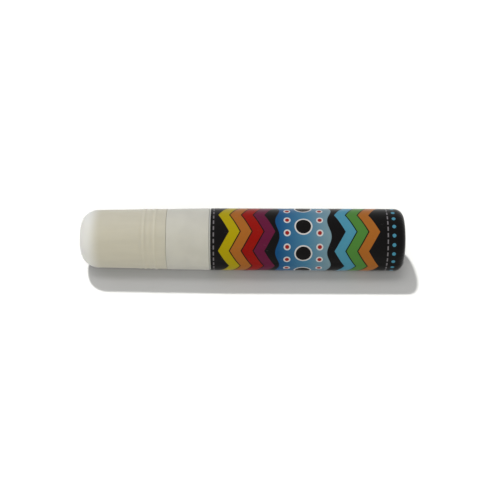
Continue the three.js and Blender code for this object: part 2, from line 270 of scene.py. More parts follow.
class Paints(bpy.types.PropertyGroup):
    """Colours of the marker's materials."""

    cap: paint("Cap", "Warm milky plastic of the cap", 206, 201, 181)
    # The dome's paint is partly the clearer plastic and partly a painted highlight
    dome_white_and_highlight: paint("Cap dome", "The clearer, whiter end of the cap", 230, 229, 221)
    collar: paint("Collar", "White plastic of the collar", 206, 204, 191)
    barrel: paint("Barrel", "White plastic of the barrel", 206, 206, 197)
    milky: paint("Milky", "Natural plastic of the sealing cup and the valve", 214, 212, 200)
    felt: paint("Felt", "Bare felt", 226, 222, 208)
    # The felt between its fibres is painted darker: painted shade in the gaps
    felt_painted_shade: paint("Felt shade", "The felt between its fibres", 190, 184, 166)
    foam: paint("Foam", "Foam of the gasket", 168, 168, 164)
    steel: paint("Steel", "Spring wire and balls", 200, 201, 204)
    ground: paint("Ground", "Black ground of the print", 12, 10, 10)
    red: paint("Red", "Red of the bands", 146, 16, 6)
    orange: paint("Orange", "Orange of the bands", 165, 99, 36)
    yellow: paint("Yellow", "Yellow of the bands", 172, 154, 4)
    green: paint("Green", "Green of the bands", 76, 128, 54)
    sky: paint("Sky", "Pale blue of the bands and dots", 74, 142, 165)
    purple: paint("Purple", "Purple of the bands", 98, 22, 56)
    deep: paint("Deep", "The deep side of the blue field", 18, 76, 124)
    clear: paint("Clear", "The middle of the blue field", 68, 122, 151)
    pale: paint("Pale", "The light side of the blue field", 118, 147, 156)
    outline: paint("Outline", "White outlines of the discs", 208, 206, 202)
    rule: paint("Rule", "The broken hoops", 120, 116, 118)
    mark: paint("Mark", "Red discs", 150, 36, 34)
    floor: paint("Floor", "The floor, which its own lamps bring up to white", 126, 126, 124)
    floor_bounce: paint("Floor bounce", "The floor as it lights the marker", 195, 195, 202)
    daylight: paint("Daylight", "Colour of the surroundings as they light the marker", 248, 248, 255)
    front_tint: paint("Front tint", "Colour of the front lamp", 255, 252, 228)


class PrintSizes(bpy.types.PropertyGroup):
    """Layout of the print, a pattern of rings that run right round the barrel. Places are from the tail."""

    lap_turn: turn("Lap turn", "Side opposite the film's overlap, from the top towards the viewer", 50)
    lap: length("Lap", "Half the width of the film's overlap", 2)
    pleats: count("Pleats", "Fine pleats round the tail's corner", 48)
    pleat_fade: lengths("Pleat fade", "Where the pleats begin and end to fade", 1.5, 6)
    points: count("Points", "Points of the zigzag round the barrel", 5)
    zigzag: length("Zigzag", "Depth of the zigzag", 5.2)
    warm_start: length("Warm start", "Front of the first group of bands", 89)
    cool_start: length("Cool start", "Front of the second group of bands", 34)
    band: length("Band", "Width of each band", 5)
    band_gap: length("Band gap", "Black gap between the bands", 0.6)
    field: lengths("Field", "Both ends of the blue field", 36.5, 61)
    field_middle: amount("Field middle", "Share of the field that lies before its middle colour", 0.55)
    waves: count("Waves", "Waves of the field's edges round the barrel", 6)
    wave_height: length("Wave height", "Height of the waves of the field's edges", 1)
    disc_place: length("Disc place", "Place of the row of discs on the field", 48.7)
    disc: length("Disc", "Radius of a disc", 3.6)
    discs: count("Discs", "Discs in the row", 7)
    spot_rows: lengths("Spot rows", "Places of the rows of spots on the field", 56.4, 41)
    spot: length("Spot", "Radius of a spot", 1)
    spots: count("Spots", "Spots in a row", 14)
    outline: length("Outline", "Width of the outlines of discs and spots", 0.65)
    dot_place: length("Dot place", "Place of the row of dots near the tail", 5.9)
    dot: length("Dot", "Radius of a dot", 0.9)
    dots: count("Dots", "Dots in the row", 21)
    hoops: lengths("Hoops", "Places of the broken hoops", 91.2, 8.8)
    hoop: length("Hoop", "Half the thickness of a hoop", 0.3)
    dashes: count("Dashes", "Dashes of a hoop", 30)
    bare: amount("Bare", "Share of a hoop that is bare", 0.35)


class StageSettings(bpy.types.PropertyGroup):
    """Camera, lamps and floor."""

    distance: length("Distance", "From the camera to the marker", 537)
    elevation: turn("Elevation", "Height of the camera's view above the horizon", 40)
    azimuth: turn("Azimuth", "Turn of the camera round the marker", 0.17)
    roll: turn("Roll", "Roll of the camera", 0.12)
    lens: amount("Lens", "Focal length in millimetres on a 36 mm sensor", 79.84)
    aim: lengths("Aim", "Point that the camera looks at, right of and below the marker's middle", 3.86, 5.2)
    front: amount("Front", "Light of the low lamp before the marker", 0.35)
    side: amount("Side", "Light of the lamp on the cap's side", 0.3)
    shadow_key: amount("Shadow key", "Light that the long shadow lacks, on the floor alone", 3.5)
    contact_key: amount("Contact key", "Light that the floor by the marker lacks, on the floor alone", 0.52)
    floor_fill: amount("Floor fill", "Low light from before the marker, on the floor alone", 1.95)
    horizon: amount("Horizon", "Brightness of the surroundings at the horizon", 0.1)
    zenith: amount("Zenith", "Brightness of the surroundings overhead", 0.89)
    floor_size: length("Floor size", "Side of the floor", 6000)


class MarkerSettings(bpy.types.PropertyGroup):
    """All sizes, colours and stage settings."""

    cap: bpy.props.PointerProperty(type=CapSizes)
    barrel: bpy.props.PointerProperty(type=BarrelSizes)
    tip: bpy.props.PointerProperty(type=TipSizes)
    valve: bpy.props.PointerProperty(type=ValveSizes)
    paints: bpy.props.PointerProperty(type=Paints)
    print: bpy.props.PointerProperty(type=PrintSizes)
    stage: bpy.props.PointerProperty(type=StageSettings)
    sides: count("Sides", "Sides of the turned pieces", 160)
    small_sides: count("Small sides", "Sides of the small turned pieces", 96)
    ball_sides: count("Ball sides", "Sides of the balls", 64)


# Node trees


def math_operator(operation, reflected=False):
    """A method that adds the Math node of one of Python's operators."""

    def method(link, other):
        values = (other, link) if reflected else (link, other)
        return link.graph.math(operation, *values)

    return method


class Link:
    """An output of a node. Python's operators on a number's link add Math nodes."""

    def __init__(self, graph, socket):
        self.graph = graph
        self.socket = socket

    __add__ = math_operator("ADD")
    __radd__ = math_operator("ADD", reflected=True)
    __sub__ = math_operator("SUBTRACT")
    __rsub__ = math_operator("SUBTRACT", reflected=True)
    __mul__ = math_operator("MULTIPLY")
    __rmul__ = math_operator("MULTIPLY", reflected=True)
    __truediv__ = math_operator("DIVIDE")
    __rtruediv__ = math_operator("DIVIDE", reflected=True)
    __lt__ = math_operator("LESS_THAN")

    def __neg__(self):
        return self.graph.math("MULTIPLY", self, -1.0)

    def __abs__(self):
        return self.graph.math("ABSOLUTE", self)


class Graph:
    """Adds the nodes of one tree. Each comes from node(), which makes its settings before its sockets."""

    def __init__(self, tree):
        self.tree = tree

    def node(self, kind, sockets=None, settings=None):
        node = self.tree.nodes.new(kind)
        for name, value in (settings or {}).items():
            if name == "stops":
                self.set_stops(node.color_ramp, value)
            else:
                setattr(node, name, value)
        for key, value in (sockets or {}).items():
            self.feed(node.inputs[key], value)
        return node

    def set_stops(self, ramp, stops):
        while len(ramp.elements) < len(stops):
            ramp.elements.new(1)
        for element, (place, colour) in zip(ramp.elements, stops):
            element.position = place
            element.color = [*colour, 1]

    def feed(self, socket, value):
        if isinstance(value, Link):
            self.tree.links.new(value.socket, socket)
        elif socket.type == "RGBA":
            socket.default_value = [*value, 1]
        else:
            socket.default_value = value

    def links(self, node):
        """A node's outputs by name."""
        return {socket.name: Link(self, socket) for socket in node.outputs}

    def out(self, kind, sockets=None, settings=None, output=0):
        """The first output of a new node, or the named one."""
        return Link(self, self.node(kind, sockets, settings).outputs[output])

    def math(self, operation, *values, clamp=False):
        settings = {"operation": operation, "use_clamp": clamp}
        return self.out("ShaderNodeMath", dict(enumerate(values)), settings)

    def vector(self, operation, first, second):
        return self.out("ShaderNodeVectorMath", {0: first, 1: second}, {"operation": operation})

    def split(self, vector):
        return self.links(self.node("ShaderNodeSeparateXYZ", {0: vector})).values()

    def join(self, x, y, z):
        return self.out("ShaderNodeCombineXYZ", {0: x, 1: y, 2: z})

    def ramp(self, value, low, high):
        """0 below low, 1 above high, and a smooth step between them."""
        sockets = {"Value": value, "From Min": low, "From Max": high}
        return self.out("ShaderNodeMapRange", sockets, {"interpolation_type": "SMOOTHSTEP"}, "Result")

    def noise(self, vector, size, detail=2.0):
        """A value round 0.5 whose blobs are about size across, in the vector's unit."""
        return self.out("ShaderNodeTexNoise", {"Vector": vector, "Scale": 1 / size, "Detail": detail})

    def mix(self, factor, first, second):
        """The first colour at 0 and the second at 1."""
        return self.out("ShaderNodeMix", {0: factor, 6: first, 7: second}, {"data_type": "RGBA"}, 2)

    def shown(self, lighting, visible):
        """One shader as it lights other things, and another as it is seen, mirrored or seen in glass."""
        path = self.links(self.node("ShaderNodeLightPath"))
        mirrored = path["Is Camera Ray"] + path["Is Glossy Ray"]
        seen = self.math("ADD", mirrored, path["Is Transmission Ray"], clamp=True)
        return self.out("ShaderNodeMixShader", {0: seen, 1: lighting, 2: visible})


class Surface(Graph):
    """A material's tree, with the object's own coordinates and one Principled surface."""

    def __init__(self, name):
        self.material = bpy.data.materials.new(name)
        self.material.use_nodes = True
        super().__init__(self.material.node_tree)
        self.tree.nodes.clear()
        self.place = self.out("ShaderNodeTexCoord", output="Object")

    def grain(self, size, detail=2):
        """Noise of one size along the marker and another across it."""
        along, across = size
        stretched = self.vector("MULTIPLY", self.place, (1 / along, 1 / across, 1 / across))
        return self.noise(stretched, 1, detail)

    def scratches(self, size, cloud):
        """1 on fine scratches, where the cloud is bright."""
        return self.ramp(self.grain(size, detail=1), *SCRATCHES) * self.ramp(cloud, *SCRATCHED)

    def bump(self, height, distance):
        """Height is a share of distance, which is in metres."""
        return self.out("ShaderNodeBump", {"Height": height, "Distance": distance})

    def finish(self, colour, roughness, normal, **uniform):
        """Joins the surface. What is the same all over is set on the shader's own sockets."""
        sockets = {"Base Color": colour, "Roughness": roughness, "Normal": normal}
        sockets.update({name.replace("_", " "): value for name, value in uniform.items()})
        return self.cover(self.out("ShaderNodeBsdfPrincipled", sockets))

    def cover(self, shader):
        self.node("ShaderNodeOutputMaterial", {"Surface": shader})
        return self.material


FINISH_INPUTS = [("Sharp", "NodeSocketFloat"), ("Material", "NodeSocketMaterial")]
TURNED_INPUTS = [("Sides", "NodeSocketInt"), ("Axis", "NodeSocketVector")]
BOX_INPUTS = [("Size", "NodeSocketVector"), ("Count", "NodeSocketInt"), ("Middle", "NodeSocketVector")]
FELT_INPUTS = [("Height", "NodeSocketFloat"), ("Grain", "NodeSocketFloat")]
SPRING_INPUTS = [
    ("Start", "NodeSocketVector"),
    ("Length", "NodeSocketFloat"),
    ("Radius", "NodeSocketFloat"),
    ("Wire", "NodeSocketFloat"),
    ("Turns", "NodeSocketFloat"),
    ("End pitch", "NodeSocketFloat"),
]


def new_tree(name, inputs):
    """A geometry tree with inputs besides its geometry: gives its graph, its inputs and its output node."""
    tree = bpy.data.node_groups.new(name, "GeometryNodeTree")
    tree.interface.new_socket("Geometry", in_out="INPUT", socket_type="NodeSocketGeometry")
    for label, kind in inputs + FINISH_INPUTS:
        tree.interface.new_socket(label, in_out="INPUT", socket_type=kind)
    tree.interface.new_socket("Geometry", in_out="OUTPUT", socket_type="NodeSocketGeometry")
    graph = Graph(tree)
    return graph, graph.links(graph.node("NodeGroupInput")), graph.node("NodeGroupOutput")


def close_tree(graph, geometry, given, output):
    """Ends a tree: real geometry, edges sharp where they turn by more than Sharp, and the material."""
    real = graph.out("GeometryNodeRealizeInstances", {"Geometry": geometry})
    smooth = graph.out("GeometryNodeSetShadeSmooth", {"Geometry": real}, {"domain": "FACE"})
    fold = graph.out("GeometryNodeInputMeshEdgeAngle", output="Unsigned Angle")
    sockets = {"Geometry": smooth, "Shade Smooth": fold < given["Sharp"]}
    edged = graph.out("GeometryNodeSetShadeSmooth", sockets, {"domain": "EDGE"})
    done = graph.out("GeometryNodeSetMaterial", {"Geometry": edged, "Material": given["Material"]})
    graph.feed(output.inputs[0], done)
    return graph.tree


def moved(graph, geometry, place):
    """The geometry with each point at its place."""
    return graph.out("GeometryNodeSetPosition", {"Geometry": geometry, "Position": place})


def turned_geometry(graph, given):
    """Spins an outline, a row of points (x, 0, radius), round the line along X through Axis."""
    outline = given["Geometry"]
    rows = graph.out("GeometryNodeAttributeDomainSize", {0: outline}, output="Point Count")
    sheet_sockets = {"Size X": 1.0, "Size Y": 1.0, "Vertices X": rows, "Vertices Y": given["Sides"] + 1}
    sheet = graph.out("GeometryNodeMeshGrid", sheet_sockets, output="Mesh")
    position = graph.out("GeometryNodeInputPosition")
    across, around, _ = graph.split(position)
    row = graph.math("ROUND", (across + 0.5) * (rows - 1))
    sample_sockets = {"Geometry": outline, "Value": position, "Index": row}
    sample = graph.out("GeometryNodeSampleIndex", sample_sockets, {"data_type": "FLOAT_VECTOR"})
    x, _, radius = graph.split(sample)
    angle = (around + 0.5) * FULL_TURN
    ring = graph.join(x, radius * graph.math("SINE", angle), radius * graph.math("COSINE", angle))
    spun = moved(graph, sheet, graph.vector("ADD", ring, given["Axis"]))
    return graph.out("GeometryNodeMergeByDistance", {"Geometry": spun, "Distance": MERGE_DISTANCE})


def turned_tree(name):
    """Spins the outline that the object holds."""
    graph, given, output = new_tree(name, TURNED_INPUTS)
    return close_tree(graph, turned_geometry(graph, given), given, output)


def boxes_round(graph, given):
    """Boxes set evenly round half a turn of a line along X: each one's own Y points outwards."""
    cube = graph.out("GeometryNodeMeshCube", {"Size": given["Size"]}, output="Mesh")
    points = graph.out("GeometryNodePoints", {"Count": given["Count"], "Position": given["Middle"]})
    index = graph.out("GeometryNodeInputIndex")
    rotation = graph.join(index * (math.pi / given["Count"]), 0.0, 0.0)
    sockets = {"Points": points, "Instance": cube, "Rotation": rotation}
    placed = graph.out("GeometryNodeInstanceOnPoints", sockets)
    return graph.out("GeometryNodeRealizeInstances", {"Geometry": placed})


def boxed_tree(name, operation):
    """A turned piece that is joined with boxes which cross on its axis, or cut by them."""
    graph, given, output = new_tree(name, TURNED_INPUTS + BOX_INPUTS)
    result = graph.node("GeometryNodeMeshBoolean", None, {"operation": operation, "solver": "EXACT"})
    first, others = result.inputs[:2]
    graph.feed(first if operation == "DIFFERENCE" else others, turned_geometry(graph, given))
    graph.feed(others, boxes_round(graph, given))
    return close_tree(graph, Link(graph, result.outputs[0]), given, output)


def ribbed_tree(name):
    return boxed_tree(name, "UNION")


def windowed_tree(name):
    return boxed_tree(name, "DIFFERENCE")


def spring_tree(name):
    """A round wire wound along X, whose pitch is closer near both ends."""
    graph, given, output = new_tree(name, SPRING_INPUTS)
    turns = given["Turns"]
    line_sockets = {"Count": WIRE_POINTS, "Start Location": (0, 0, 0), "Offset": (0, 0, 0)}
    line = graph.out("GeometryNodeMeshLine", line_sockets)
    share = graph.out("GeometryNodeInputIndex") / (WIRE_POINTS - 1)
    even = given["End pitch"] * turns
    eased = share - graph.math("SINE", share * FULL_TURN) / FULL_TURN
    x = share * even + (given["Length"] - even) * eased
    angle = share * turns * FULL_TURN
    radius = given["Radius"]
    loop = graph.join(x, radius * graph.math("COSINE", angle), radius * graph.math("SINE", angle))
    wound = moved(graph, line, graph.vector("ADD", loop, given["Start"]))
    curve = graph.out("GeometryNodeMeshToCurve", {"Mesh": wound})
    wire_sockets = {"Resolution": WIRE_SIDES, "Radius": given["Wire"] / 2}
    wire = graph.out("GeometryNodeCurvePrimitiveCircle", wire_sockets)
    swept = graph.out("GeometryNodeCurveToMesh", {"Curve": curve, "Profile Curve": wire, "Fill Caps": True})
    return close_tree(graph, swept, given, output)


def felt_tree(name):
    """Roughens a fine mesh as pressed fibres do, drawn out a little along the nib."""
    graph, given, output = new_tree(name, FELT_INPUTS)
    x, y, z = graph.split(graph.out("GeometryNodeInputPosition"))
    noise = graph.noise(graph.join(x * FIBRE_DRAW, y, z), given["Grain"], detail=3)
    rise = (noise - FIBRE_LEVEL) * given["Height"]
    sockets = {0: graph.out("GeometryNodeInputNormal"), "Scale": rise}
    offset = graph.out("ShaderNodeVectorMath", sockets, {"operation": "SCALE"})
    rough = graph.out("GeometryNodeSetPosition", {"Geometry": given["Geometry"], "Offset": offset})
    return close_tree(graph, rough, given, output)


TREES = {
    "turned_piece": turned_tree,
    "ribbed_piece": ribbed_tree,
    "windowed_piece": windowed_tree,
    "coil_spring": spring_tree,
    "felt_surface": felt_tree,
}


# Making pieces

# Edges that turn by more than this are sharp. The few-sided wire stays smooth up to a wider turn
SHARP = math.radians(35)
WIRE_SHARP = math.radians(50)
NEVER_SHARP = math.pi


def new_object(name, data):
    thing = bpy.data.objects.new(name, data)
    bpy.context.scene.collection.objects.link(thing)
    return thing


def mesh_object(name, verts, edges=(), faces=()):
    mesh = bpy.data.meshes.new(name)
    mesh.from_pydata(verts, edges, faces)
    return new_object(name, mesh)


def as_plain_mesh(source, name):
    """The evaluated mesh of an object as a new object with no modifiers. The source is removed."""
    graph = bpy.context.evaluated_depsgraph_get()
    mesh = bpy.data.meshes.new_from_object(source.evaluated_get(graph), depsgraph=graph)
    mesh.name = name
    bpy.data.objects.remove(source)
    if not mesh.polygons:
        raise RuntimeError(name + " has no faces")
    if mesh.materials and mesh.materials[0] is None:
        mesh.materials.pop(index=0)
    return new_object(name, mesh)


def run_tree(source, name, tree_name, values):
    """Runs a geometry tree on an object, with its inputs given by name."""
    tree = bpy.data.node_groups.get(tree_name) or TREES[tree_name](tree_name)
    modifier = source.modifiers.new(tree_name, "NODES")
    modifier.node_group = tree
    for item in tree.interface.items_tree:
        if item.in_out == "INPUT" and item.name in values:
            modifier[item.identifier] = values[item.name]
    return as_plain_mesh(source, name)


def place_piece(piece, node, body):
    """Puts a finished piece in its body, in place of its CAD node."""
    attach(piece, body)
    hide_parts(node)


def rounded(corners, closed=False, steps=6):
    """Points of an outline from (x, radius, fillet) corners. Each fillet is a true arc between its sides."""
    points = []
    for i, (x, radius, fillet) in enumerate(corners):
        corner = Vector((x, radius))
        if fillet <= 0:
            points.append(corner)
            continue
        before = (Vector(corners[i - 1][:2]) - corner).normalized()
        after = (Vector(corners[(i + 1) % len(corners)][:2]) - corner).normalized()
        half = before.angle(after) / 2
        centre = corner + (before + after).normalized() * fillet / math.sin(half)
        points += arc(centre, corner + before * fillet / math.tan(half), math.pi - 2 * half, -before, steps)
    if closed:
        points.append(points[0].copy())
    return points


def arc(centre, start, sweep, heading, steps):
    """Points from start round centre, with steps of them to a right angle, leaving start along heading."""
    spoke = start - centre
    way = 1 if spoke.cross(heading) > 0 else -1
    number = max(3, round(steps * sweep / (math.pi / 2)))
    return [centre + Matrix.Rotation(way * sweep * k / number, 2) @ spoke for k in range(number + 1)]


def outline_object(points):
    """An outline as an object of loose edges, turned so that its spun faces point outwards."""
    area = sum(a.x * b.y - b.x * a.y for a, b in zip(points, points[1:] + points[:1]))
    if area > 0:
        points = points[::-1]
    verts = [(point.x, 0, point.y) for point in points]
    return mesh_object("outline", verts, edges=[(i, i + 1) for i in range(len(verts) - 1)])


def turned_piece(name, points, material, sides, tree="turned_piece", axis=(0, 0, AXIS_Z), **values):
    """Spins an outline into a closed piece."""
    values.update({"Sides": sides, "Axis": axis, "Sharp": SHARP, "Material": material})
    return run_tree(outline_object(points), name, tree, values)


def bead(x, radius_at, height, width, direction=1, steps=8):
    """Corners of a smooth ring on a sloping side at x, read towards +X or, with direction -1, towards -X."""
    corners = []
    for k in range(steps + 1):
        share = k / steps * 2 - 1
        place = x + direction * share * width / 2
        corners.append((place, radius_at(place) + height * math.cos(share * math.pi / 2) ** 2, 0))
    return corners


def rounded_bar(name, width, height, corner, start, end, edge, steps=6):
    """A bar along X of rounded rectangular section, whose end rims are rounded by edge."""
    rings = []
    for x, inset in bar_stations(start, end, edge, steps):
        turn_radius = max(corner - inset, LEAST_CORNER)
        section = rounded_rectangle(width / 2 - inset, height / 2 - inset, turn_radius, steps)
        rings.append([(x, y, AXIS_Z + z) for y, z in section])
    verts = [point for ring in rings for point in ring]
    size = len(rings[0])
    faces = []
    for ring in range(len(rings) - 1):
        for k in range(size):
            a, b = ring * size + k, ring * size + (k + 1) % size
            faces.append((a, b, b + size, a + size))
    faces.append(tuple(reversed(range(size))))
    faces.append(tuple(range(len(verts) - size, len(verts))))
    return mesh_object(name, verts, faces=faces)


def bar_stations(start, end, edge, steps):
    """Places along a bar, with the inset that rounds both rims."""
    if edge <= 0:
        return [(start, 0), (end, 0)]
    rim = [(edge * (1 - math.sin(t)), edge * (1 - math.cos(t))) for t in arc_steps(math.pi / 2, 0, steps)]
    near = [(start + along, inset) for along, inset in rim]
    far = [(end - along, inset) for along, inset in reversed(rim)]
    return near + far


def arc_steps(first, last, steps):
    return [first + (last - first) * k / steps for k in range(steps + 1)]


def rounded_rectangle(half_y, half_z, corner, steps):
    """Points of a rounded rectangle in the YZ plane, anticlockwise when X points at the viewer."""
    points = []
    for quarter in range(4):
        side_y = 1 if quarter in (0, 3) else -1
        side_z = 1 if quarter in (0, 1) else -1
        for t in arc_steps(quarter * math.pi / 2, (quarter + 1) * math.pi / 2, steps):
            y = side_y * (half_y - corner) + corner * math.cos(t)
            z = side_z * (half_z - corner) + corner * math.sin(t)
            points.append((y, z))
    return points


def carved(target, name, changes, material):
    """Joins or cuts an object with others, one after the other, into a plain mesh."""
    for operation, other in changes:
        modifier = target.modifiers.new(operation, "BOOLEAN")
        modifier.operation = operation
        modifier.solver = "EXACT"
        modifier.object = other
    piece = as_plain_mesh(target, name)
    for _, other in changes:
        bpy.data.objects.remove(other)
    piece.data.materials.clear()
    piece.data.materials.append(material)
    piece.data.set_sharp_from_angle(angle=SHARP)
    return piece


# Shapes shared by several pieces


def side(place, radius, slope=0.0):
    """The radius at x of a side that is radius wide at place and narrows towards -X."""
    return lambda x: radius - (place - x) * slope


def cap_side(settings, inset=0.0):
    """The cap's outer side, or one that lies inset under it."""
    _, mouth, radius = span("cap_shell")
    return side(mouth, radius - inset, math.tan(settings.cap.draft))


def chamber_radius(tip):
    """Radius of the round chamber that holds the corners of the nib's foot."""
    low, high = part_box("nib")
    return (Vector((high.y - low.y, high.z - low.z)).length / 2 + tip.slide_gap) * FLAT


def neck_radius(settings):
    return (span("barrel")[2] / FLAT - settings.barrel.shoulder_width) * FLAT


# Materials

# Sizes of grain and marks. A pair is the size along the marker and across it
MOULD_CLOUD = 7 * MM
MOULD_TOOLING = (0.22 * MM, 60 * MM)
MOULD_SCRATCH = (9 * MM, 0.12 * MM)
CAP_CLOUD = 9 * MM
CAP_TOOLING = (0.25 * MM, 60 * MM)
CAP_FLOW = (26 * MM, 3.5 * MM)
CAP_SCRATCH = (7 * MM, 0.11 * MM)
FELT_CLOUD = 3 * MM
FELT_FIBRES = (0.9 * MM, 0.16 * MM)
FELT_CROSSING = (0.2 * MM, 0.7 * MM)
FOAM_CELL = 0.35 * MM
FILM_CLOUD = 5 * MM
FILM_PEEL = 0.7 * MM
FILM_RIPPLE = (14 * MM, 1.6 * MM)
FILM_SCUFF = (3 * MM, 0.1 * MM)

# Levels of noise between which a shade or a mark sets in. Marks come in patches of their cloud
MOTTLES = (0.3, 0.7)
FLOW_LINES = (0.5, 0.9)
# The felt's painted shade between its fibres sets in between these levels
FIBRE_SHADE_LEVELS = (0.45, 0.72)
SCRATCHES = (0.71, 0.76)
SCRATCHED = (0.5, 0.62)
SCUFFS = (0.68, 0.74)
SCUFFED = (0.52, 0.64)

# How much of the outlines' white shows on scuffs and on the film's overlap
SCUFF_WHITE = 0.16
LAP_WHITE = 0.12

# Half the soft end of a hoop's dash, as a share of the way from dash to gap
DASH_FADE = 0.05

# Depth of each finish's fine relief
PLASTIC_RELIEF = 0.012 * MM
FELT_RELIEF = 0.09 * MM
FOAM_RELIEF = 0.05 * MM
STEEL_RELIEF = 0.004 * MM
FILM_RELIEF = 0.02 * MM

# Roughness of the cap's and the collar's clear skin
SKIN_ROUGHNESS = 0.35


def darker(colour, share):
    return [channel * share for channel in colour]


def moulded_plastic(name, colour, roughness, subsurface, specular=0.5, coat=0.0):
    """Satin moulded plastic: faint mottling, tooling marks that run round, and a few handling scratches."""
    s = Surface(name)
    cloud = s.noise(s.place, MOULD_CLOUD, detail=3)
    tooling = s.grain(MOULD_TOOLING)
    scratches = s.scratches(MOULD_SCRATCH, cloud)
    shade = s.mix(s.ramp(cloud, *MOTTLES), darker(colour, 0.95), colour)
    rough = roughness + 0.08 * (cloud - 0.5) + 0.1 * scratches
    height = tooling * 0.5 - scratches * 0.5 + cloud
    return s.finish(
        shade,
        rough,
        s.bump(height, PLASTIC_RELIEF),
        Specular_IOR_Level=specular,
        Coat_Weight=coat,
        Coat_Roughness=SKIN_ROUGHNESS,
        Subsurface_Weight=subsurface,
        Subsurface_Radius=(1.0, 0.9, 0.75),
        Subsurface_Scale=2.5 * MM,
    )


def cap_plastic(settings):
    """Milky plastic painted whiter at the dome: partly the clearer end, where no sealing cup lies behind it,
    and partly a painted highlight of the light that falls on the end.
    """
    paints = settings.paints
    s = Surface("cap_plastic")
    cloud = s.noise(s.place, CAP_CLOUD, detail=3)
    tooling = s.grain(CAP_TOOLING)
    flow = s.grain(CAP_FLOW)
    scratches = s.scratches(CAP_SCRATCH, cloud)
    x, _, _ = s.split(s.place)
    # Whiter towards the end: partly the clearer plastic, partly a painted highlight of the light from the
    # left
    dome = 1 - s.ramp(x - CAP_END_X, *settings.cap.dome_highlight_fade)
    tone = s.mix(s.ramp(flow + 0.4 * cloud, *FLOW_LINES), darker(paints.cap, 0.955), paints.cap)
    rough = 0.6 + 0.07 * (cloud - 0.5) + 0.12 * scratches
    height = tooling * 0.45 - scratches * 0.6 + cloud * 0.8
    return s.finish(
        s.mix(dome, tone, paints.dome_white_and_highlight),
        rough,
        s.bump(height, PLASTIC_RELIEF),
        Specular_IOR_Level=0.2,
        Coat_Weight=0.25,
        Coat_Roughness=SKIN_ROUGHNESS,
        Subsurface_Weight=0.35,
        Subsurface_Radius=(1.0, 0.92, 0.75),
        Subsurface_Scale=3 * MM,
    )


def felt_fibre(settings):
    """Dense pressed felt, painted darker between its fibres as painted shade."""
    paints = settings.paints
    s = Surface("nib_felt")
    cloud = s.noise(s.place, FELT_CLOUD)
    height = s.grain(FELT_FIBRES, detail=3) * 0.6 + s.grain(FELT_CROSSING) * 0.4
    # Low places between the fibres take the darker paint, as painted shade
    shade = s.mix(s.ramp(height + 0.2 * cloud, *FIBRE_SHADE_LEVELS), paints.felt_painted_shade, paints.felt)
    return s.finish(shade, 0.92, s.bump(height, FELT_RELIEF), Sheen_Weight=0.25, Specular_IOR_Level=0.2)


def foam(settings):
    """Closed-cell foam whose cell pits are painted darker, as painted shade."""
    s = Surface("seal_foam")
    depth = s.out("ShaderNodeTexVoronoi", {"Vector": s.place, "Scale": 1 / FOAM_CELL})
    # The pits of the cells are painted darker, as painted shade
    shade = s.mix(depth, darker(settings.paints.foam, 0.7), settings.paints.foam)
    return s.finish(shade, 0.85, s.bump(depth, FOAM_RELIEF))


def steel(name, colour, roughness, mark):
    """Bright steel with fine drawing or polishing marks."""
    s = Surface(name)
    marks = s.grain((mark, mark))
    shade = s.mix(marks, darker(colour, 0.82), colour)
    return s.finish(shade, roughness + 0.12 * marks, s.bump(marks, STEEL_RELIEF), Metallic=1.0)


class Print(Surface):
    """The printed film's tree: along from the tail, angle from the top, around from opposite its lap."""

    def __init__(self, name, settings):
        super().__init__(name)
        self.layout = settings.print
        self.radius = span("label_sleeve")[2]
        x, y, z = self.split(self.place)
        self.along = TAIL_X - x
        self.angle = self.math("ARCTAN2", -y, z - AXIS_Z)
        self.around = (self.angle - self.layout.lap_turn) * self.radius

    def filled(self, distance):
        """1 inside an edge, where the distance from it is negative, and 0 outside it."""
        return 1 - self.ramp(distance, -CRISP, CRISP)

    def add(self, colour, distance, hue):
        """The colour with a hue over the places whose distance is negative."""
        return self.mix(self.filled(distance), colour, hue)

    def zigzag(self, number):
        """Rises from 0 to 1 and falls again, that number of times round the barrel."""
        return self.math("PINGPONG", self.angle * (number / math.pi), 1.0)

    def zigzag_bands(self, colour, start, hues):
        """Bands that zigzag round the barrel, one after the other towards the tail."""
        layout = self.layout
        place = start - self.along - self.zigzag(layout.points) * layout.zigzag
        for k, hue in enumerate(hues):
            centre = k * (layout.band + layout.band_gap) + layout.band / 2
            colour = self.add(colour, abs(place - centre) - layout.band / 2, hue)
        return colour

    def field(self, colour, paints):
        """A blue field with wavy edges, that fades towards the tail."""
        layout = self.layout
        low, high = layout.field
        wave = self.math("SINE", self.angle * layout.waves) * layout.wave_height
        edge = abs(self.along - wave - (low + high) / 2) - (high - low) / 2
        stops = [(0, paints.deep), (layout.field_middle, paints.clear), (1, paints.pale)]
        share = (high - self.along) / (high - low)
        shade = self.out("ShaderNodeValToRGB", {"Fac": share}, {"stops": stops})
        return self.add(colour, edge, shade)

    def disc_edge(self, place, radius, number):
        """Distance from the edge of the nearest disc of a row round the barrel."""
        pitch = FULL_TURN * self.radius / number
        x = self.along - place
        y = (self.math("FRACT", self.angle * (number / FULL_TURN)) - 0.5) * pitch
        return self.math("SQRT", x * x + y * y) - radius

    def rows_of_discs(self, colour, paints):
        """Outlined discs and spots on the field, and plain dots near the tail."""
        layout = self.layout
        rows = [(layout.disc_place, layout.disc, layout.discs, paints.ground)]
        rows += [(place, layout.spot, layout.spots, paints.mark) for place in layout.spot_rows]
        for place, radius, number, fill in rows:
            edge = self.disc_edge(place, radius, number)
            colour = self.add(colour, edge - layout.outline, paints.outline)
            colour = self.add(colour, edge, fill)
        return self.add(colour, self.disc_edge(layout.dot_place, layout.dot, layout.dots), paints.sky)

    def broken_hoops(self, colour, paints):
        """Thin hoops of pale dashes."""
        layout = self.layout
        dashes = self.ramp(self.zigzag(layout.dashes), layout.bare - DASH_FADE, layout.bare + DASH_FADE)
        for place in layout.hoops:
            hoop = self.filled(abs(self.along - place) - layout.hoop)
            colour = self.mix(hoop * dashes, colour, paints.rule)
        return colour


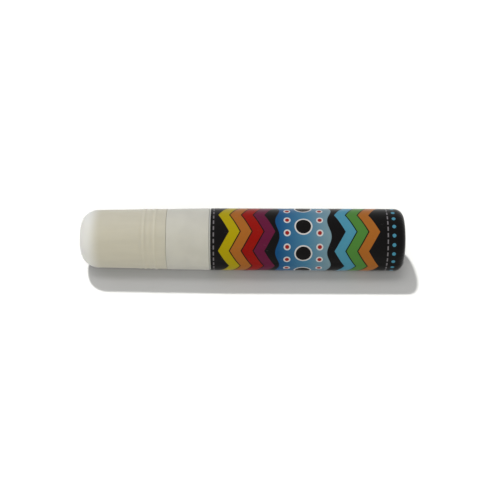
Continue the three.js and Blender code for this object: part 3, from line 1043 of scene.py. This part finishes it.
def printed_film(settings):
    """Black shrunk film with zigzag bands, a blue field with discs on it, dots and broken hoops."""
    paints = settings.paints
    s = Print("printed_film", settings)
    warm = [paints.yellow, paints.orange, paints.red, paints.purple]
    cool = [paints.sky, paints.green, paints.orange]
    colour = s.zigzag_bands(paints.ground, settings.print.warm_start, warm)
    colour = s.zigzag_bands(colour, settings.print.cool_start, cool)
    colour = s.field(colour, paints)
    colour = s.rows_of_discs(colour, paints)
    colour = s.broken_hoops(colour, paints)

    # The film's overlap runs along the far side
    half_lap = settings.print.lap
    lap = 1 - s.ramp(abs(abs(s.around) - math.pi * s.radius), half_lap, half_lap + FINE)

    cloud = s.noise(s.place, FILM_CLOUD, detail=3)
    orange_peel = s.noise(s.place, FILM_PEEL)
    tail = 1 - s.ramp(s.along, *settings.print.pleat_fade)
    pleats = s.math("SINE", s.angle * settings.print.pleats) * tail
    scuffs = s.ramp(s.grain(FILM_SCUFF), *SCUFFS) * s.ramp(cloud, *SCUFFED)
    colour = s.mix(scuffs * SCUFF_WHITE, colour, paints.outline)
    colour = s.mix(lap * LAP_WHITE, colour, paints.outline)
    rough = 0.3 + 0.1 * (cloud - 0.5) + 0.2 * scuffs
    height = orange_peel * 0.2 + s.grain(FILM_RIPPLE) * 0.6 + pleats * 0.8 + lap * 1.5
    return s.finish(colour, rough, s.bump(height, FILM_RELIEF), Specular_IOR_Level=0.07)


def floor_surface(settings):
    """A matt floor that keeps the shadow, and that lights the marker as an even pale sheet."""
    s = Surface("pale_floor")
    even = s.out("ShaderNodeEmission", {"Color": settings.paints.floor_bounce})
    matt = s.out("ShaderNodeBsdfDiffuse", {"Color": settings.paints.floor})
    return s.cover(s.shown(even, matt))


# Operators


class MarkerOperator(bpy.types.Operator):
    """Base of the operators, which all read the scene's marker settings."""

    bl_options = {"REGISTER", "UNDO"}

    def execute(self, context):
        self.build(context.scene.marker)
        return {"FINISHED"}


class MARKER_OT_cap(MarkerOperator):
    """Make the cap's shell and the sealing cup inside it"""

    bl_idname = "marker.cap"
    bl_label = "Cap"

    def build(self, settings):
        sizes = settings.cap
        self.shell(settings, sizes)
        self.sealing_cup(settings, sizes)

    def shell(self, settings, sizes):
        end, mouth, _ = span("cap_shell")
        outer = cap_side(settings)
        bore = cap_side(settings, sizes.wall)
        gate = sizes.gate_depth
        corners = [
            (end + gate, 0, 0),
            (end + gate, sizes.gate_radius, gate / 3),
            (end, sizes.gate_radius + gate, gate / 3),
            (end + sizes.crown, outer(end), sizes.fillet),
        ]
        for place, height in zip(sizes.ring_places, sizes.ring_heights):
            corners += bead(mouth - place, outer, height, sizes.ring_width)
        corners += [(mouth, outer(mouth), sizes.lip_round), (mouth, bore(mouth), sizes.lip_round)]
        corners += bead(mouth - sizes.bead_place, bore, sizes.bead_height, sizes.bead_width, direction=-1)
        corners += [(end + sizes.wall, bore(end), sizes.fillet - sizes.wall), (end + sizes.wall, 0, 0)]
        piece = turned_piece("cap_body", rounded(corners, steps=16), cap_plastic(settings), settings.sides)
        place_piece(piece, "cap_shell", "cap")

    def sealing_cup(self, settings, sizes):
        end, mouth, _ = span("inner_cap")
        bore = cap_side(settings, sizes.wall)
        lip_bore = chamber_radius(settings.tip) + settings.tip.holder_wall + sizes.slide_gap
        fillet = sizes.fillet - sizes.wall - sizes.seat_gap
        outer = bore(end) - sizes.seat_gap
        lip = mouth - sizes.cup_lip
        corners = [
            (end, 0, 0),
            (end, outer, fillet),
            (mouth, bore(mouth) - sizes.seat_gap, EASED),
            (mouth, lip_bore, FULL),
            (lip, lip_bore, FULL),
            (lip, bore(lip) - sizes.seat_gap - sizes.cup_wall, SOFT),
            (end + sizes.cup_wall, outer - sizes.cup_wall, fillet - sizes.cup_wall),
            (end + sizes.cup_wall, 0, 0),
        ]
        milky = settings.paints.milky
        material = moulded_plastic("inner_cap_plastic", milky, roughness=0.45, subsurface=0.3)
        piece = turned_piece("sealing_cup", rounded(corners, steps=12), material, settings.sides)
        place_piece(piece, "inner_cap", "cap")


class MARKER_OT_collar(MarkerOperator):
    """Make the white collar and its spigot"""

    bl_idname = "marker.collar"
    bl_label = "Collar"

    def build(self, settings):
        sizes, cap = settings.barrel, settings.cap
        front, back, radius = span("front_collar")
        mouth = span("cap_shell")[1]
        step = mouth + sizes.seam
        outer = side(back, radius, math.tan(cap.draft))
        spigot = cap_side(settings, cap.wall + sizes.cap_gap)
        holder_bore = chamber_radius(settings.tip) + settings.tip.holder_wall + sizes.fit_gap
        bore = neck_radius(settings) + sizes.fit_gap
        seat = span("nib_holder")[1] - settings.tip.flange - sizes.fit_gap
        shoulder = back + sizes.seam
        corners = [
            (back, bore, FINE),
            (back, radius, sizes.edge),
            (step, outer(step), sizes.edge),
            (step, spigot(step), EASED),
        ]
        corners += bead(mouth - cap.bead_place, spigot, cap.bead_height, cap.bead_width, direction=-1)
        corners += [
            (front, spigot(front), BLUNT),
            (front, holder_bore, SOFT),
            (seat, holder_bore, CRISP),
            (seat, bore, FINE),
        ]
        for place in reversed(sizes.neck_beads):
            corners += bead(shoulder - place, side(shoulder, bore), sizes.neck_bead_height, cap.bead_width)
        white = settings.paints.collar
        skin = {"specular": 0.2, "coat": 0.25}
        material = moulded_plastic("collar_plastic", white, roughness=0.55, subsurface=0.25, **skin)
        points = rounded(corners, closed=True)
        piece = turned_piece("white_collar", points, material, settings.sides)
        place_piece(piece, "front_collar", "barrel_assembly")


class MARKER_OT_barrel(MarkerOperator):
    """Make the barrel and the printed film round it"""

    bl_idname = "marker.barrel"
    bl_label = "Barrel and film"

    def build(self, settings):
        self.bottle(settings, settings.barrel)
        self.film(settings, settings.barrel)

    def bottle(self, settings, sizes):
        neck_end, tail, radius = span("barrel")
        shoulder = span("front_collar")[1] + sizes.seam
        neck = neck_radius(settings)
        bore = neck - sizes.neck_wall
        cavity = radius - sizes.wall
        film_seat = tail - sizes.foot_height - sizes.film - sizes.film_gap
        base = tail - sizes.base
        corners = [
            (tail - sizes.recess_depth, 0, 0),
            (tail - sizes.recess_depth, sizes.recess_radius - sizes.recess_depth, FULL),
            (tail, sizes.recess_radius, sizes.recess_rim),
            (tail, sizes.foot_radius, FINE),
            (film_seat, sizes.foot_radius, 0),
            (film_seat, radius, sizes.tail_fillet),
            (shoulder, radius, sizes.edge),
            (shoulder, neck, EASED),
        ]
        neck_side = side(shoulder, neck)
        for place in sizes.neck_beads:
            height = sizes.neck_bead_height
            corners += bead(shoulder - place, neck_side, height, settings.cap.bead_width, direction=-1)
        corners += [
            (neck_end, neck, sizes.edge),
            (neck_end, bore, sizes.edge),
            (shoulder, bore, BROAD),
            (shoulder + sizes.shoulder_thickness, cavity, BROAD),
            (base, cavity, sizes.inner_fillet),
            (base, 0, 0),
        ]
        material = moulded_plastic("barrel_plastic", settings.paints.barrel, roughness=0.38, subsurface=0.25)
        piece = turned_piece("bottle", rounded(corners, steps=8), material, settings.sides)
        place_piece(piece, "barrel", "barrel_assembly")

    def film(self, settings, sizes):
        front, tail, radius = span("label_sleeve")
        film = sizes.film
        foot = sizes.foot_radius + sizes.film_gap
        corner = sizes.tail_fillet + sizes.film_gap
        inner_edge, tail_edge = sizes.film_edges
        corners = [
            (front, radius - film, inner_edge),
            (front, radius, CRISP),
            (tail, radius, corner + film),
            (tail, foot, tail_edge),
            (tail - film, foot, inner_edge),
            (tail - film, radius - film, corner),
        ]
        points = rounded(corners, closed=True, steps=14)
        piece = turned_piece("film_sleeve", points, printed_film(settings), settings.sides)
        place_piece(piece, "label_sleeve", "barrel_assembly")


class MARKER_OT_writing_tip(MarkerOperator):
    """Make the felt nib and its holder"""

    bl_idname = "marker.writing_tip"
    bl_label = "Writing tip"

    def build(self, settings):
        self.felt_block(settings, settings.tip)
        self.holder(settings, settings.tip)

    def felt_block(self, settings, sizes):
        low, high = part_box("nib")
        outline = [
            (high.x, low.z),
            (high.x, high.z),
            (low.x, high.z),
            (low.x, high.z - sizes.tip_width),
            (low.x + sizes.bevel_length, low.z),
        ]
        size = len(outline)
        verts = [(x, y, z) for y in (low.y, high.y) for x, z in outline]
        faces = [(k, (k + 1) % size, (k + 1) % size + size, k + size) for k in range(size)]
        faces += [tuple(reversed(range(size))), tuple(range(size, 2 * size))]
        block = mesh_object("felt", verts, faces=faces)
        bevel = block.modifiers.new("edges", "BEVEL")
        bevel.width = sizes.nib_round
        bevel.segments = BEVEL_STEPS
        remesh = block.modifiers.new("fine", "REMESH")
        remesh.mode = "VOXEL"
        remesh.voxel_size = sizes.voxel
        remesh.use_smooth_shade = True
        values = {
            "Height": sizes.fibre_height,
            "Grain": sizes.fibre_size,
            "Sharp": NEVER_SHARP,
            "Material": felt_fibre(settings),
        }
        piece = run_tree(block, "felt_nib", "felt_surface", values)
        place_piece(piece, "nib", "writing_tip")

    def holder(self, settings, sizes):
        front, back, _ = span("nib_holder")
        nib_low, nib_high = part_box("nib")
        chamber = chamber_radius(sizes)
        body = chamber + sizes.holder_wall
        flange = neck_radius(settings)
        snout_start = front + sizes.snout + sizes.shoulder
        cone_end = front + sizes.snout
        top = body - sizes.snout_wall
        corners = [
            (back, 0, 0),
            (back, flange, EASED),
            (back - sizes.flange, flange, EASED),
            (back - sizes.flange, body, FINE),
            (snout_start, body, BLUNT),
            (cone_end, top, BLUNT),
            (cone_end, 0, 0),
        ]
        material = moulded_plastic("holder_plastic", settings.paints.collar, roughness=0.4, subsurface=0.25)
        sides = settings.small_sides
        turned = turned_piece("holder_body", rounded(corners), material, sides)
        slot_y = nib_high.y - nib_low.y + 2 * sizes.slide_gap
        slot_z = nib_high.z - nib_low.z + 2 * sizes.slide_gap
        wall = 2 * sizes.snout_wall
        outer = rounded_bar(
            "snout", slot_y + wall, slot_z + wall, sizes.snout_corner, front, snout_start, sizes.snout_edge
        )
        slot = rounded_bar("slot", slot_y, slot_z, sizes.slot_corner, front - wall, back - sizes.flange, 0)
        chamber_front = nib_high.x - sizes.snout_wall
        round_hole = [(chamber_front, 0), (chamber_front, chamber), (back + wall, chamber), (back + wall, 0)]
        hole_points = [Vector(point) for point in round_hole]
        hole = turned_piece("chamber", hole_points, material, sides)
        changes = [("UNION", outer), ("DIFFERENCE", slot), ("DIFFERENCE", hole)]
        piece = carved(turned, "snout_holder", changes, material)
        place_piece(piece, "nib_holder", "barrel_assembly")


class MARKER_OT_valve(MarkerOperator):
    """Make the pump valve, its spring and the gasket"""

    bl_idname = "marker.valve"
    bl_label = "Valve"

    def build(self, settings):
        sizes = settings.valve
        milky = settings.paints.milky
        self.plastic = moulded_plastic("valve_plastic", milky, roughness=0.42, subsurface=0.25)
        self.seat_piece(settings, sizes)
        self.stem(settings, sizes)
        self.cage(settings, sizes)
        self.spring(settings, sizes)
        self.gasket(settings)

    def seat_piece(self, settings, sizes):
        front, cup_end, flange_radius = span("valve_body")
        flange = front + sizes.flange
        skirt = neck_radius(settings) - settings.barrel.neck_wall - settings.barrel.fit_gap
        skirt_end = flange + sizes.skirt_length
        cup_bore = sizes.cup_radius - sizes.cup_wall
        corners = [
            (front, sizes.seat_radius, CRISP),
            (flange - sizes.seat_height, sizes.seat_radius, CRISP),
            (flange, sizes.plug_radius, HAIR),
            (flange, cup_bore, FINE),
            (cup_end, cup_bore, SOFT),
            (cup_end, sizes.cup_radius, SOFT),
            (flange, sizes.cup_radius, EASED),
            (flange, skirt - sizes.skirt_wall, EASED),
            (skirt_end, skirt - sizes.skirt_wall, SOFT),
            (skirt_end, skirt, FULL),
            (flange, skirt, CRISP),
            (flange, flange_radius, EASED),
            (front, flange_radius, EASED),
        ]
        points = rounded(corners, closed=True)
        piece = turned_piece("valve_seat", points, self.plastic, settings.small_sides)
        place_piece(piece, "valve_body", "barrel_assembly")

    def stem(self, settings, sizes):
        head, pilot_end, _ = span("valve_stem")
        plug_back = pilot_end - sizes.pilot_length
        plug_front = plug_back - sizes.plug_length
        cone_tip = plug_front - sizes.seat_height
        corners = [
            (head, 0, 0),
            (head, sizes.core_radius, EASED),
            (cone_tip, sizes.core_radius, EASED),
            (cone_tip, sizes.seat_radius, CRISP),
            (plug_front, sizes.plug_radius, FINE),
            (plug_back, sizes.plug_radius, EASED),
            (plug_back, sizes.pilot_radius, FINE),
            (pilot_end, sizes.pilot_radius, FULL),
            (pilot_end, 0, 0),
        ]
        width = 2 * (sizes.seat_radius - sizes.rib_gap) * FLAT
        values = {
            "Size": (plug_front - head, width, sizes.rib),
            "Count": sizes.ribs,
            "Middle": ((plug_front + head) / 2, 0, AXIS_Z),
        }
        points = rounded(corners)
        sides = settings.small_sides
        piece = turned_piece("stem", points, self.plastic, sides, tree="ribbed_piece", **values)
        place_piece(piece, "valve_stem", "writing_tip")

    def cage(self, settings, sizes):
        rim, floor, radius = span("valve_cage")
        bore = radius - sizes.cage_wall
        inside = floor - sizes.cage_floor
        corners = [
            (rim, bore, EASED),
            (rim, radius, EASED),
            (floor, radius, FULL),
            (floor, sizes.cage_hole, SOFT),
            (inside, sizes.cage_hole, SOFT),
            (inside, bore, SOFT),
        ]
        window = inside - settings.barrel.edge - sizes.window_length / 2
        values = {
            "Size": (sizes.window_length, 4 * radius, sizes.window_width),
            "Count": sizes.windows // 2,
            "Middle": (window, 0, AXIS_Z),
        }
        points = rounded(corners, closed=True)
        sides = settings.small_sides
        piece = turned_piece("spring_cage", points, self.plastic, sides, tree="windowed_piece", **values)
        place_piece(piece, "valve_cage", "barrel_assembly")

    def spring(self, settings, sizes):
        low, high, radius = span("valve_spring")
        coil = radius - sizes.wire / 2
        material = steel("spring_steel", settings.paints.steel, roughness=0.22, mark=0.1 * MM)
        start = low + sizes.wire / 2
        values = {
            "Start": (start, 0, AXIS_Z),
            "Length": high - sizes.wire / 2 - start,
            "Radius": coil,
            "Wire": sizes.wire,
            "Turns": sizes.turns,
            "End pitch": sizes.end_pitch,
            "Sharp": WIRE_SHARP,
            "Material": material,
        }
        piece = run_tree(mesh_object("wire", []), "coil", "coil_spring", values)
        place_piece(piece, "valve_spring", "barrel_assembly")
        self.let_it_shorten(piece, low)

    def let_it_shorten(self, piece, low):
        """Gives the coil its own mesh, and works out the share of it that the nib's travel would leave,
        towards the end that the record calls fixed; it does not shorten the coil.
        """
        joints = frame["record"]["behaviour"]["joints"]
        press = next(joint for joint in joints if joint["name"] == "nib_press")
        fixed = press["deforming_nodes"][0]["fixed_end_x_m"]
        keep = 1 - press["range_m"][1] / (fixed - low)
        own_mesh(piece)

    def gasket(self, settings):
        low, high, radius = span("neck_gasket")
        bore = radius - settings.barrel.neck_wall
        corners = [
            (low, bore, FINE),
            (low, radius, FINE),
            (high, radius, FINE),
            (high, bore, FINE),
        ]
        points = rounded(corners, closed=True)
        piece = turned_piece("foam_ring", points, foam(settings), settings.small_sides)
        place_piece(piece, "neck_gasket", "barrel_assembly")


class MARKER_OT_balls(MarkerOperator):
    """Make the two mixing balls"""

    bl_idname = "marker.balls"
    bl_label = "Mixing balls"

    def build(self, settings):
        material = steel("ball_steel", settings.paints.steel, roughness=0.12, mark=0.8 * MM)
        for number in (1, 2):
            node = "mixing_ball_" + str(number)
            radius = span(node)[2]
            centre = middle(node)
            angles = arc_steps(0, math.pi, BALL_STEPS)
            points = [Vector((centre.x - radius * math.cos(t), radius * math.sin(t))) for t in angles]
            points[0].y = points[-1].y = 0
            axis = (0, centre.y, centre.z)
            piece = turned_piece("ball_" + str(number), points, material, settings.ball_sides, axis=axis)
            place_piece(piece, node, "ball_" + str(number))


class MARKER_OT_stage(MarkerOperator):
    """Make the floor, the lamps, the surroundings and the camera"""

    bl_idname = "marker.stage"
    bl_label = "Stage"

    def build(self, settings):
        stage = settings.stage
        floor = self.floor(settings, stage)
        self.surroundings(settings, stage)
        front = self.lamp("front_lamp", stage.front, direction=(-0.1, -1, 0.1), spread=40)
        front.visible_glossy = False
        front.data.color = settings.paints.front_tint[:3]
        self.lamp("side_lamp", stage.side, direction=(-1, 0.3, 1.2), spread=50)
        floor_alone = bpy.data.collections.new("floor_alone")
        floor_alone.objects.link(floor)
        lamps = [
            self.lamp("shadow_lamp", stage.shadow_key, direction=(-0.28, 0.44, 1), spread=4),
            self.lamp("contact_lamp", stage.contact_key, direction=(-0.1, -0.15, 1), spread=24),
            self.lamp("fill_lamp", stage.floor_fill, direction=(0, -1, 0.5), spread=60),
        ]
        for lamp in lamps:
            lamp.light_linking.receiver_collection = floor_alone
        self.camera(stage)
        bpy.context.scene.view_settings.view_transform = "Standard"

    def floor(self, settings, stage):
        half = stage.floor_size / 2
        corners = [(-half, -half, 0), (half, -half, 0), (half, half, 0), (-half, half, 0)]
        floor = mesh_object("floor", corners, faces=[(0, 1, 2, 3)])
        floor.data.materials.append(floor_surface(settings))
        return floor

    def surroundings(self, settings, stage):
        """Brighter overhead than near the horizon, and seen as plain white."""
        world = bpy.data.worlds.new("studio")
        bpy.context.scene.world = world
        world.use_nodes = True
        graph = Graph(world.node_tree)
        world.node_tree.nodes.clear()
        _, _, height = graph.split(graph.out("ShaderNodeTexCoord", output="Generated"))
        strength = graph.math("MAXIMUM", height, 0.0) * (stage.zenith - stage.horizon) + stage.horizon
        soft = graph.out("ShaderNodeBackground", {"Color": settings.paints.daylight, "Strength": strength})
        white = graph.out("ShaderNodeBackground", {"Color": (1, 1, 1), "Strength": 1.0})
        graph.node("ShaderNodeOutputWorld", {"Surface": graph.shown(soft, white)})

    def lamp(self, name, light, direction, spread):
        """A far lamp: light is what white gives back when it faces the lamp, and spread is in degrees."""
        data = bpy.data.lights.new(name, "SUN")
        data.energy = light * math.pi
        data.angle = math.radians(spread)
        lamp = new_object(name, data)
        lamp.rotation_euler = Vector(direction).to_track_quat("Z", "Y").to_euler()
        return lamp

    def camera(self, stage):
        data = bpy.data.cameras.new("camera")
        data.sensor_width = SENSOR_WIDTH
        data.lens = stage.lens
        data.clip_start = 0.01
        camera = new_object("camera", data)
        up = math.sin(stage.elevation)
        out = math.cos(stage.elevation)
        back = Vector((math.sin(stage.azimuth) * out, -math.cos(stage.azimuth) * out, up))
        facing = back.to_track_quat("Z", "Y").to_matrix()
        roll = Matrix.Rotation(stage.roll, 3, "Z")
        right, down = stage.aim
        target = Vector((0, 0, AXIS_Z)) + facing @ Vector((right, -down, 0))
        place = Matrix.Translation(target + back * stage.distance)
        camera.matrix_world = place @ (facing @ roll).to_4x4()
        bpy.context.scene.camera = camera


class MARKER_PT_panel(bpy.types.Panel):
    """Lists the marker's operators"""

    bl_label = "Chalk marker"
    bl_idname = "MARKER_PT_panel"
    bl_space_type = "VIEW_3D"
    bl_region_type = "UI"
    bl_category = "Marker"

    def draw(self, context):
        for operator in OPERATORS:
            self.layout.operator(operator.bl_idname)


OPERATORS = (
    MARKER_OT_cap,
    MARKER_OT_collar,
    MARKER_OT_barrel,
    MARKER_OT_writing_tip,
    MARKER_OT_valve,
    MARKER_OT_balls,
    MARKER_OT_stage,
)
GROUPS = (CapSizes, BarrelSizes, TipSizes, ValveSizes, Paints, PrintSizes, StageSettings, MarkerSettings)
CLASSES = GROUPS + OPERATORS + (MARKER_PT_panel,)


def register():
    for cls in CLASSES:
        bpy.utils.register_class(cls)
    bpy.types.Scene.marker = bpy.props.PointerProperty(type=MarkerSettings)


def unregister():
    del bpy.types.Scene.marker
    for cls in reversed(CLASSES):
        bpy.utils.unregister_class(cls)


def main():
    register()
    bpy.ops.marker.stage()
    bpy.ops.marker.cap()
    bpy.ops.marker.collar()
    bpy.ops.marker.barrel()
    bpy.ops.marker.writing_tip()
    bpy.ops.marker.valve()
    bpy.ops.marker.balls()


if __name__ == "__main__":
    main()
